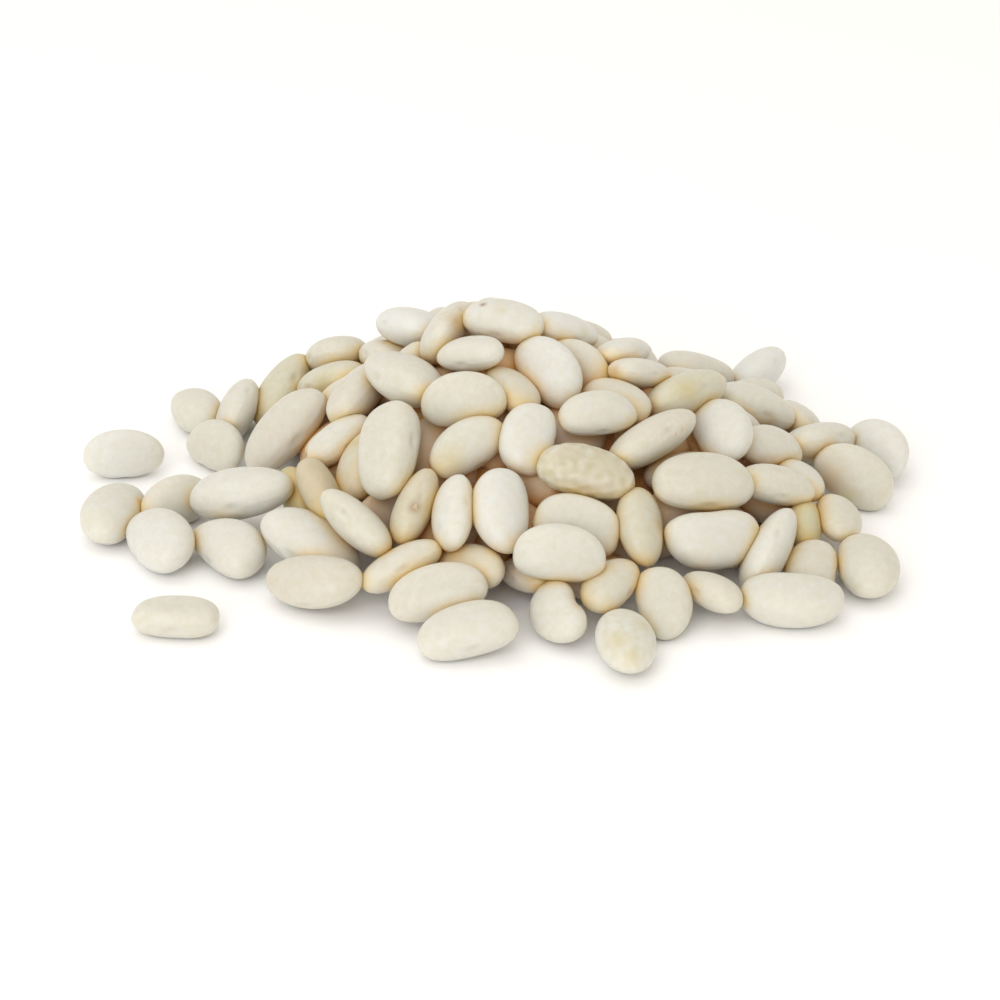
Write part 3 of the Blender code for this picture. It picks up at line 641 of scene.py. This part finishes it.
def seed_coat():
    """The dried seed coat of a white bean: a thin, smooth, waxy skin over a pale seed.

    It has a soft satin sheen and faint warm blotches a millimetre or so across. Where beans all but
    touch it is painted tan, and deep in the heap brown: painted shade, as light only gets there off
    other beans.
    """
    material = bpy.data.materials.new("dried_seed_coat")
    material.use_nodes = True
    tree, shader = material.node_tree, material.node_tree.nodes["Principled BSDF"]
    place = add_node(tree, "ShaderNodeTexCoord").outputs["Object"]
    tone, mark, contact_shade, depth_shade = [add_node(tree, "ShaderNodeAttribute", attribute_name=name).outputs
                               for name in ("tone", "mark", "contact_shade", "depth_shade")]
    warm, dim, green = add_node(tree, "ShaderNodeSeparateColor", {"Color": tone["Color"]}).outputs
    mottle, blush, grain = [
        add_node(tree, "ShaderNodeTexNoise", {"Vector": place, **pattern}).outputs["Fac"]
        for pattern in (MOTTLE, BLUSH, GRAIN)
    ]
    # nearly is the share of painted shade where beans all but touch
    uneven, blushed, nearly, reach, rough = [
        add_node(tree, "ShaderNodeMapRange", {"Value": value, **share}).outputs[0]
        for value, share in ((mottle, BLOTCH_SHARE), (blush, BLUSH_SHARE),
                             (contact_shade["Fac"], CONTACT_SHADE_SHARE), (contact_shade["Fac"], DEPTH_SHADE_SHARE),
                             (mottle, COAT_ROUGHNESS))
    ]
    warmth, depth_shade_share = [
        add_node(tree, "ShaderNodeMath", {0: one, 1: two}, operation=way, use_clamp=True).outputs[0]
        for one, two, way in ((warm, uneven, "ADD"), (depth_shade["Fac"], reach, "MULTIPLY"))
    ]
    # The last two tints are painted shade: tan where beans all but touch, brown deep in the heap
    colour = linear(COAT_PALE)
    for share, tint in ((warmth, linear(COAT_WARM)), (blushed, linear(COAT_BLUSH)),
                        (green, linear(COAT_GREEN)), (mark["Alpha"], mark["Color"]),
                        (dim, linear(COAT_SHADED)), (nearly, linear(SHADE_BETWEEN_BEANS)),
                        (depth_shade_share, linear(DEEP_SHADE_BROWN))):
        colour = add_node(tree, "ShaderNodeMix", {0: share, 6: colour, 7: tint},
                          data_type="RGBA").outputs[2]
    pucker = add_node(tree, "ShaderNodeBump", {"Height": mottle, **PUCKER}).outputs[0]
    relief = add_node(tree, "ShaderNodeBump", {"Height": grain, "Normal": pucker,
                                               **ROUGH_GRAIN}).outputs[0]
    for socket, output in (("Base Color", colour), ("Roughness", rough), ("Normal", relief)):
        tree.links.new(output, shader.inputs[socket])
    for socket, value in SEED_BODY.items():
        shader.inputs[socket].default_value = value
    return material


# The seeds of the draws for each bean's form and tone, the usual tone of a bean, and how much
# the puckers of a wrinkled one show as lighter and darker
FORM_SEED, TONE_SEED = 1000, 500
USUAL_WARMTH, WARMTH_SPREAD, MOST_WARMTH, MOST_DIMNESS = 0.33, 0.09, 0.9, 0.08
WRINKLE_TONE = 0.028


def usual_tone(bean):
    """How warm, dim and green a bean is: most are pale cream, a few are yellower."""
    random = np.random.default_rng(TONE_SEED + bean)
    warmth = np.clip(random.normal(USUAL_WARMTH, WARMTH_SPREAD), 0, MOST_WARMTH)
    return float(warmth), float(random.uniform(0, MOST_DIMNESS)), 0.0


def painted(colour, shares):
    """One colour for every point, with a share of its own each."""
    return np.column_stack([np.tile(linear(colour)[:3], (len(shares), 1)), shares])


def bean_piece(name, members, count, tones=usual_tone, forms=None, marks=None, scarred=None,
               shaded=1.0):
    """Whole beans as one mesh, with each point's tone and marks, and its painted shade by closeness
    and by depth, as attributes.
    """
    net, quads = net_on_ball(count)
    points, faces, tone, mark, contact_shade, depth_shade = [], [], [], [], [], []
    for at, bean in enumerate(members):
        random = np.random.default_rng(FORM_SEED + bean)
        form = (forms or {}).get(bean, {})
        own, scar, wrinkles = bean_form(net, bean_halves[bean], random, **form)
        own = bean_centres[bean] + own @ bean_axes[bean].T
        if own[:, 2].min() < RESTS_WITHIN:
            own[:, 2] -= own[:, 2].min()
        points.append(own)
        faces.append(quads + at * len(net))
        own_tone = np.tile([*tones(bean), 1.0], (len(net), 1))
        own_tone[:, 0] -= WRINKLE_TONE * wrinkles
        tone.append(np.clip(own_tone, 0, 1))
        # Painted shade: how near other beans come, and how deep in the heap each point lies, scaled
        # by shaded
        contact_shade.append(contact_shade_mask(own, bean, bean_centres, bean_axes, bean_halves))
        depth_shade.append(shaded * depth_shade_mask(own))
        spots = painted(SCAR_COLOUR, scarred(bean) * scar if scarred else 0 * scar)
        for right, up, radius, colour, strength in (marks or {}).get(bean, ()):
            away = np.linalg.norm(own - on_bean(bean, right, up), axis=1)
            share = strength * np.exp(-((away / radius) ** 2))
            stronger = share > spots[:, 3]
            spots[stronger] = painted(colour, share[stronger])
        mark.append(spots)
    points = np.concatenate(points) - heap_middle
    mesh = bpy.data.meshes.new(name)
    mesh.from_pydata((points * MM).tolist(), [], np.concatenate(faces).tolist())
    for attribute, values in (("tone", tone), ("mark", mark), ("contact_shade", contact_shade), ("depth_shade", depth_shade)):
        values = np.concatenate(values)
        kind, field = ("FLOAT_COLOR", "color") if values.ndim > 1 else ("FLOAT", "value")
        mesh.attributes.new(attribute, kind, "POINT").data.foreach_set(field, values.ravel())
    mesh.shade_smooth()
    mesh.materials.append(coat)
    piece = bpy.data.objects.new(name, mesh)
    bpy.context.scene.collection.objects.link(piece)
    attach(piece, "root")
    return piece


# Beans moved a little from where they settled, so that they show as the real ones do: right, up
# and away from the eye
NUDGES = {
    1: (0.0, -0.4, -0.8), 12: (0.5, -0.6, 0.0), 15: (0.5, -0.4, 0.3), 17: (-0.5, 0.0, 0.0),
    21: (1.0, -0.1, -0.2), 51: (-0.9, 0.0, 0.0), 54: (0.2, -0.5, -1.0), 56: (0.8, 0.0, 0.0),
    58: (-0.6, 0.0, 0.0), 69: (-1.2, 0.2, 0.4), 70: (-0.7, -0.3, 0.2), 72: (-0.5, 0.0, 0.0),
    85: (0.6, -1.6, 0.6), 96: (1.6, -0.4, 0.8),
}

bean_centres, bean_axes, bean_halves, listed, outer = lay_beans()
for bean, (right, up, ahead) in NUDGES.items():
    bean_centres[bean] += right * RIGHT + up * UP + ahead * AHEAD
reach = np.sqrt(np.einsum("nij,nj->ni", bean_axes**2, bean_halves**2))
heap_low, heap_high = (bean_centres - reach).min(0), (bean_centres + reach).max(0)
heap_middle = np.array([*((heap_low + heap_high) / 2)[:2], 0.0])
coat = seed_coat()
in_the_gaps = range(len(SEEN_BEANS), len(SEEN_BEANS) + len(DEEP_BEANS))
under_the_rest = range(outer, len(bean_centres))
buried = bean_piece("beans_buried", [*in_the_gaps, *under_the_rest], COARSE_NET)
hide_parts("bean_heap")


# The imported middle of the heap, where dried beans press together with hardly a gap. Only slivers
# of it show, far down between the others, so it is one lumpy body, painted brown as shade, that
# stands on the table.

# How far the mound stays under the heap's surface, its least height, how far out it reaches as a
# share of the heap's foot, how finely it is drawn, and its lumps, about half a bean wide
PACKED_UNDER, PACKED_LEAST = 10.0, 0.5
PACKED_SHARE = 0.56
PACKED_SPOKES, PACKED_RINGS = 72, 24
PACKED_LUMP_SPACING, PACKED_LUMP_HEIGHT = 7.5, 1.2
# Seed coats that only light off other beans reaches, painted as their shade: brown, darker in
# patches the size of half a bean, and too dull to shine
PACKED_SHADE_BROWN, PACKED_SHADE_DARK, PACKED_PATCH_MM = "#C48A50", "#A06834", 7.0
PACKED_ROUGHNESS = 0.6


def packed_mound():
    """A lumpy mound under the outer layers, down to the table at its rim."""
    points, faces = [], []
    for ring in range(PACKED_RINGS + 1):
        for spoke in range(PACKED_SPOKES):
            angle = 2 * np.pi * spoke / PACKED_SPOKES
            out = PACKED_SHARE * foot_radius(np.cos(angle), np.sin(angle)) * ring / PACKED_RINGS
            x, y = out * np.cos(angle), out * np.sin(angle)
            lump = (np.sin(2 * np.pi * x / PACKED_LUMP_SPACING)
                    * np.cos(2 * np.pi * y / PACKED_LUMP_SPACING))
            height = float(heap_top(x, y)) - PACKED_UNDER + PACKED_LUMP_HEIGHT * lump
            points.append((x, y, max(height, PACKED_LEAST) if ring < PACKED_RINGS else 0.0))
    crest = (0.0, 0.0, float(heap_top(0.0, 0.0)) - PACKED_UNDER)
    points[0:PACKED_SPOKES] = [crest] * PACKED_SPOKES
    for ring in range(PACKED_RINGS):
        for spoke in range(PACKED_SPOKES):
            beside = (spoke + 1) % PACKED_SPOKES
            low, high = ring * PACKED_SPOKES, (ring + 1) * PACKED_SPOKES
            faces.append((low + spoke, high + spoke, high + beside, low + beside))
    rim = PACKED_RINGS * PACKED_SPOKES
    faces.append(tuple(rim + spoke for spoke in reversed(range(PACKED_SPOKES))))
    return points, faces


packed_coat = bpy.data.materials.new("seed_coats_out_of_the_light")
packed_coat.use_nodes = True
packed_tree = packed_coat.node_tree
packed_shader = packed_tree.nodes["Principled BSDF"]
# The painted shade of the packed beans: brown, darker in patches
patches = add_node(packed_tree, "ShaderNodeTexVoronoi", {"Scale": 1 / (PACKED_PATCH_MM * MM)})
packed_shade_colour = add_node(packed_tree, "ShaderNodeMix", {0: patches.outputs["Distance"],
                                                        6: linear(PACKED_SHADE_BROWN),
                                                        7: linear(PACKED_SHADE_DARK)}, data_type="RGBA")
packed_tree.links.new(packed_shade_colour.outputs[2], packed_shader.inputs["Base Color"])
packed_shader.inputs["Roughness"].default_value = PACKED_ROUGHNESS
mound_points, mound_faces = packed_mound()
mound_mesh = bpy.data.meshes.new("packed_middle")
mound_mesh.from_pydata(((np.array(mound_points) - heap_middle) * MM).tolist(), [], mound_faces)
mound_mesh.materials.append(packed_coat)
mound_mesh.shade_smooth()
mound = bpy.data.objects.new("packed_middle", mound_mesh)
bpy.context.scene.collection.objects.link(mound)
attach(mound, "root")
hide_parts("bean_heap")


# The outer beans round the back and the sides: dried white beans like the buried ones, lying on
# the slope as they came to rest. Every third one has a dark scar and the others a faint one.

SCAR_EVERY, SCAR_DARK, SCAR_FAINT = 3, 0.45, 0.1
# How much of the painted brown shade deep in the heap the beans behind take
DEPTH_SHADE_BEHIND = 0.6


def scar_behind(bean):
    return SCAR_FAINT if bean % SCAR_EVERY else SCAR_DARK


behind = bean_piece("beans_behind", range(listed, outer), MIDDLE_NET, scarred=scar_behind,
                    shaded=DEPTH_SHADE_BEHIND)
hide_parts("bean_heap")


# The beans that show from the front, poured last. Their tones, blemishes and bent, blunt, puckered
# or notched forms are those of the real ones, and a few tan patches on them are painted shade.

# How much of the painted brown shade deep in the heap the beans in front take
DEPTH_SHADE_IN_FRONT = 0.45
# How warm, dim and green each bean is, where it isn't usual
TONES = {
    0: (0.30, 0.0, 0.0), 1: (0.15, 0.0, 0.0), 2: (0.25, 0.0, 0.0), 4: (0.22, 0.0, 0.0),
    5: (0.32, 0.0, 0.0), 8: (0.50, 0.0, 0.15), 11: (0.45, 0.0, 0.10), 16: (0.45, 0.05, 0.10),
    17: (0.42, 0.0, 0.0), 18: (0.75, 0.26, 0.0), 19: (0.45, 0.0, 0.0), 20: (0.50, 0.0, 0.55),
    21: (0.22, 0.0, 0.0), 22: (0.32, 0.12, 0.0), 24: (0.30, 0.08, 0.0), 25: (0.25, 0.03, 0.0),
    26: (0.25, 0.0, 0.10), 27: (0.65, 0.10, 0.0), 28: (0.22, 0.0, 0.0), 29: (0.12, 0.0, 0.0),
    30: (0.42, 0.0, 0.0), 33: (0.0, 0.0, 0.0), 34: (0.35, 0.0, 0.0), 35: (0.25, 0.0, 0.0),
    36: (0.20, 0.0, 0.0), 38: (0.15, 0.0, 0.0), 40: (0.0, 0.0, 0.0), 46: (0.70, 0.05, 0.0),
    48: (0.30, 0.0, 0.0), 50: (0.45, 0.05, 0.10), 53: (0.42, 0.0, 0.0), 54: (0.16, 0.0, 0.08),
    58: (0.18, 0.0, 0.0), 60: (0.45, 0.0, 0.12), 61: (0.0, 0.0, 0.0), 65: (0.35, 0.0, 0.0),
    66: (0.12, 0.0, 0.0), 67: (0.42, 0.0, 0.0), 68: (0.45, 0.0, 0.0), 71: (0.30, 0.0, 0.45),
    74: (0.26, 0.02, 0.0), 75: (0.42, 0.0, 0.0),
}
# Forms that aren't usual
FORMS = {
    2: {"bend": 0.09, "taper": 0.10},
    4: {"blunt": 2.15, "bend": 0.0, "taper": -0.10},
    17: {"blunt": 2.6, "bend": 0.0, "taper": 0.10, "slim": 0.93},
    22: {"blunt": 2.0, "bend": -0.03, "taper": 0.04, "slim": 0.93},
    24: {"slim": 0.95},
    25: {"blunt": 2.35},
    35: {"blunt": 2.3},
    36: {"blunt": 2.45, "taper": 0.0},
    46: {"blunt": 2.3, "wrinkled": 1.0},
    47: {"blunt": 2.6},
    48: {"blunt": 2.4},
    51: {"bend": 0.08, "notch": 0.16, "over": True},
    54: {"blunt": 2.0, "bend": 0.0, "taper": 0.0, "wrinkled": 0.12},
    55: {"blunt": 2.3},
    56: {"blunt": 2.35, "bend": 0.055, "notch": 0.08, "over": True},
    74: {"blunt": 2.35, "bend": 0.04, "over": True},
}
# Eyes, specks and stained patches, and painted shade down the right sides of beans 34 and 50 and in
# part at the lower left of bean 67: how far right of and above the middle of the view, radius,
# colour and strength
EYE_BROWN, EYE_TAN, EYE_PALE, EYE_RUST = "#7E4E2E", "#B08A58", "#C8B48A", "#C98A50"
TAN_STAIN_AND_SHADE, STAIN_YELLOW = "#B99A66", "#BFB070"
MARKS = {
    0: ((-62.1, -0.3, 0.7, EYE_RUST, 0.7),),
    11: ((-30.4, 19.8, 2.2, STAIN_YELLOW, 0.5),),
    16: ((-24.6, 10.0, 1.6, STAIN_YELLOW, 0.6),),
    27: ((-14.7, -1.2, 1.0, EYE_BROWN, 0.6), (-14.7, -1.2, 0.5, EYE_PALE, 1.0)),
    32: ((-8.6, 6.6, 2.4, STAIN_YELLOW, 0.5), (-4.0, 5.2, 2.0, TAN_STAIN_AND_SHADE, 0.35)),
    # 34: the tan patch is painted shade down its right side
    34: ((-7.2, 30.2, 2.2, TAN_STAIN_AND_SHADE, 0.8),),
    35: ((-2.9, 33.6, 0.5, EYE_BROWN, 0.9), (0.2, 32.8, 1.0, STAIN_YELLOW, 0.3)),
    40: ((14.6, 29.0, 1.2, STAIN_YELLOW, 0.3),),
    42: ((19.8, 22.2, 1.4, TAN_STAIN_AND_SHADE, 0.6),),
    45: ((29.4, 10.8, 0.4, EYE_TAN, 0.35), (30.4, 11.3, 0.4, EYE_TAN, 0.45),
         (31.4, 12.1, 0.4, EYE_TAN, 0.35)),
    # 50: the tan patches are painted shade down its right side
    50: ((27.6, -4.4, 1.4, TAN_STAIN_AND_SHADE, 0.55), (27.2, -1.0, 1.2, TAN_STAIN_AND_SHADE, 0.4)),
    51: ((13.7, -17.9, 1.1, TAN_STAIN_AND_SHADE, 0.6),),
    54: ((20.5, -24.0, 2.0, STAIN_YELLOW, 0.4), (24.6, -21.5, 1.6, STAIN_YELLOW, 0.35),
         (22.8, -27.0, 1.6, STAIN_YELLOW, 0.35)),
    60: ((32.2, 19.0, 2.4, STAIN_YELLOW, 0.5),),
    62: ((46.3, 13.2, 1.6, TAN_STAIN_AND_SHADE, 0.6),),
    65: ((53.5, 7.3, 2.0, TAN_STAIN_AND_SHADE, 0.6),),
    # 67: the tan patch at its lower left is partly its own mottle and partly painted shade
    67: ((56.7, 2.8, 3.4, TAN_STAIN_AND_SHADE, 0.55), (59.5, 0.5, 2.4, STAIN_YELLOW, 0.4)),
}
# The shown beans in three pieces, from the left
SHOWN_SHARES = {"left": (0, 26), "middle": (26, 52), "right": (52, len(SEEN_BEANS))}


def shown_tone(bean):
    return TONES.get(bean, usual_tone(bean))


for side, share in SHOWN_SHARES.items():
    shown = bean_piece(f"beans_in_front_{side}", range(*share), FINE_NET, shown_tone, FORMS, MARKS,
                       shaded=DEPTH_SHADE_IN_FRONT)
    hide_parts("bean_heap")


# The beans that rolled clear of the heap and lie alone on the table. They are dried beans as the
# others are: the one in front has a flattened side up, and the one on the left is plump.

APART_TONES = {"bean_apart_front": (0.28, 0.06, 0.0), "bean_apart_left": (0.15, 0.0, 0.0)}
APART_FORMS = {
    "bean_apart_front": {"blunt": 2.6, "bend": 0.01, "taper": 0.02, "slim": 0.93, "flat": 0.12},
    "bean_apart_left": {"blunt": 2.15, "bend": 0.02},
}

for at, apart in enumerate(BEANS_APART, listed - len(BEANS_APART)):
    alone = bean_piece(f"{apart}_whole", [at], FINE_NET, lambda bean: APART_TONES[apart],
                       {at: APART_FORMS[apart]})
    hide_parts(apart)


# The table: a seamless sheet of matt white paper, laid flat. It is so smooth and bright that
# only the soft shadows of the beans show on it.

# The sheet's width in metres, and its uncoated paper, which has no shine
TABLE_SIZE = 4.0
PAPER_WHITE, PAPER_ROUGHNESS = "#FCFCFC", 0.8

bpy.ops.mesh.primitive_plane_add(size=TABLE_SIZE, location=(0, 0, 0))
table = bpy.context.object
table.name = "table"
paper = bpy.data.materials.new("matt_white_paper")
paper.use_nodes = True
paper_shader = paper.node_tree.nodes["Principled BSDF"]
paper_shader.inputs["Base Color"].default_value = linear(PAPER_WHITE)
paper_shader.inputs["Roughness"].default_value = PAPER_ROUGHNESS
table.data.materials.append(paper)


# The light: two large soft boxes of daylight, one over the table and one low in front on the
# left that fills the gaps between the beans, in a room with warm white walls.

# Watts, width and place in metres of each
SOFTBOXES = {
    "softbox_over": (2.3, 1.1, (-0.25, 0.2, 0.9)),
    "softbox_in_front": (5.0, 0.8, (-0.3, -0.85, 0.55)),
}
DAYLIGHT, WALLS_WHITE, WALLS_BRIGHT = "#FAFBFF", "#FFFAF1", 0.82

for name, (power, size, place) in SOFTBOXES.items():
    softbox = bpy.data.objects.new(name, bpy.data.lights.new(name, "AREA"))
    softbox.data.energy = power
    softbox.data.size = size
    softbox.data.color = linear(DAYLIGHT)[:3]
    softbox.location = place
    softbox.rotation_mode = "QUATERNION"
    softbox.rotation_quaternion = (-Vector(place)).to_track_quat("-Z", "Y")
    bpy.context.scene.collection.objects.link(softbox)
world = bpy.data.worlds.new("white_room")
world.use_nodes = True
world.node_tree.nodes["Background"].inputs["Color"].default_value = linear(WALLS_WHITE)
world.node_tree.nodes["Background"].inputs["Strength"].default_value = WALLS_BRIGHT
bpy.context.scene.world = world
bpy.context.scene.view_settings.view_transform = "Standard"


# The camera: 85 mm on a full frame, looking down on the heap from in front. It stands at the eye
# that the listed beans are seen from.

LENS_MM, SENSOR_MM = 85.0, 36.0

camera = bpy.data.objects.new("camera", bpy.data.cameras.new("camera"))
camera.data.lens = LENS_MM
camera.data.sensor_width = SENSOR_MM
placed = np.column_stack([RIGHT, UP, -AHEAD, (EYE - heap_middle) * MM])
camera.matrix_world = Matrix([*placed.tolist(), (0, 0, 0, 1)])
bpy.context.scene.collection.objects.link(camera)
bpy.context.scene.camera = camera
